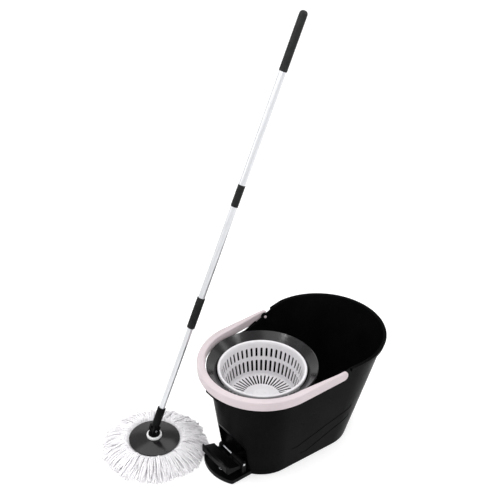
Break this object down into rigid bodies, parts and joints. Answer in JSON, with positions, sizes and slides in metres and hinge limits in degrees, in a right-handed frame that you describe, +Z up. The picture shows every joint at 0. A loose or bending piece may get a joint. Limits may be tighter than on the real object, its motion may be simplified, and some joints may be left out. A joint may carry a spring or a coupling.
{
  "type": "spin mop",
  "caption": "Oval wash bucket with a pedal-driven wringing basket and swinging bail, beside a round-headed strand mop on a telescopic tilting pole.",
  "frame": {"origin": "on the wringer basket's spin axis at floor level, the middle of the centre foot's underside", "axes": "+X towards the wash end of the bucket, +Z up, +Y towards the side where the mop stands"},
  "size_m": [0.7014, 0.462, 1.0726],
  "materials": {
    "bucket_plastic": "injection-moulded polypropylene, semi-gloss",
    "collar_plastic": "polished moulded plastic",
    "black_plastic": "moulded plastic, fine grain",
    "grip_plastic": "soft-touch moulded plastic, ribbed",
    "basket_plastic": "white moulded plastic",
    "white_plastic": "white moulded plastic",
    "handle_plastic": "light grey moulded plastic, faintly pink",
    "gear_plastic": "natural acetal",
    "steel": "bright drawn steel",
    "bronze": "sintered bronze",
    "tube_aluminium": "satin anodised",
    "rubber": "moulded rubber",
    "microfibre": "white twisted microfibre strands"
  },
  "bodies": {
    "bucket": {"bucket_shell": "bucket_plastic", "splash_collar": "collar_plastic", "base_cover": "black_plastic", "cover_screws": "steel", "rubber_feet": "rubber", "gearbox_frame": "black_plastic", "frame_screws": "steel", "lower_shaft_bush": "bronze", "upper_shaft_bush": "bronze", "shaft_seal": "rubber", "gear_axle": "steel", "pedal_tray": "black_plastic", "tray_screws": "steel", "hinge_pin": "steel", "pedal_spring": "steel"},
    "bail": {"bail": "handle_plastic", "bail_pins": "handle_plastic"},
    "pedal": {"foot_pedal": "black_plastic", "sector_lever": "black_plastic", "lever_screws": "steel"},
    "compound_gear": {"crown_gear": "gear_plastic", "drive_pinion": "gear_plastic"},
    "shaft": {"drive_shaft": "steel", "shaft_pinion": "gear_plastic", "shaft_clip": "steel", "clutch_rollers": "steel"},
    "hub": {"drive_hub": "gear_plastic", "clutch_shell": "steel"},
    "basket": {"wringer_basket": "basket_plastic"},
    "mop_head": {"mop_plate": "collar_plastic", "strand_carrier": "white_plastic", "mop_strands": "microfibre", "hub_ring": "white_plastic"},
    "mop_swivel": {"swivel": "black_plastic", "swivel_washer": "steel", "swivel_screw": "steel"},
    "lower_pole": {"pole_fork": "black_plastic", "fork_pin": "steel", "lower_tube": "tube_aluminium", "tube_guide": "white_plastic"},
    "upper_pole": {"upper_tube": "tube_aluminium", "lock_collet": "white_plastic", "pole_connector": "grip_plastic", "top_tube": "tube_aluminium", "hand_grip": "grip_plastic"},
    "twist_lock": {"lock_sleeve": "grip_plastic"}
  },
  "joints": [
    {"name": "bail_swing", "type": "hinge", "parent": "bucket", "child": "bail", "pos_m": [0.124, 0, 0.281], "axis": [0, 1, 0], "range_deg": [0, 115]},
    {"name": "pedal_press", "type": "hinge", "parent": "bucket", "child": "pedal", "pos_m": [-0.096, 0, 0.042], "axis": [0, -1, 0], "range_deg": [0, 24], "stiffness_Nm_per_rad": 2, "springref_deg": -17.19, "deforming": ["pedal_spring"]},
    {"name": "gear_spin", "type": "hinge", "parent": "bucket", "child": "compound_gear", "pos_m": [0, -0.02, 0.05402], "axis": [0, -1, 0], "range_deg": [-240, 5]},
    {"name": "shaft_spin", "type": "hinge", "parent": "bucket", "child": "shaft", "pos_m": [0, 0, 0.084], "axis": [0, 0, 1], "range_deg": [-5, 790]},
    {"name": "clutch_freewheel", "type": "hinge", "parent": "shaft", "child": "hub", "pos_m": [0, 0, 0.165], "axis": [0, 0, 1], "continuous": true},
    {"name": "basket_lift", "type": "slide", "parent": "hub", "child": "basket", "axis": [0, 0, 1], "range_m": [0, 0.12]},
    {"name": "mop_push", "type": "slide", "parent": "bucket", "child": "mop_head", "axis": [-1, 0, 0], "range_m": [0, 0.25]},
    {"name": "head_swivel", "type": "hinge", "parent": "mop_head", "child": "mop_swivel", "pos_m": [-0.2145, 0.167, 0.05], "axis": [0, 0, 1], "continuous": true},
    {"name": "pole_tilt", "type": "hinge", "parent": "mop_swivel", "child": "lower_pole", "pos_m": [-0.2145, 0.167, 0.06], "axis": [0, 1, 0], "range_deg": [-98, 6]},
    {"name": "pole_extend", "type": "slide", "parent": "lower_pole", "child": "upper_pole", "axis": [0.4027, 0, 0.9153], "range_m": [-0.22, 0.17]},
    {"name": "sleeve_twist", "type": "hinge", "parent": "upper_pole", "child": "twist_lock", "pos_m": [-0.07877, 0.167, 0.36846], "axis": [0.4027, 0, 0.9153], "range_deg": [0, 90]}
  ],
  "couplings": [
    {"joint": "gear_spin", "follows": "pedal_press", "ratio": -9.75},
    {"joint": "shaft_spin", "follows": "pedal_press", "ratio": 32.5}
  ]
}
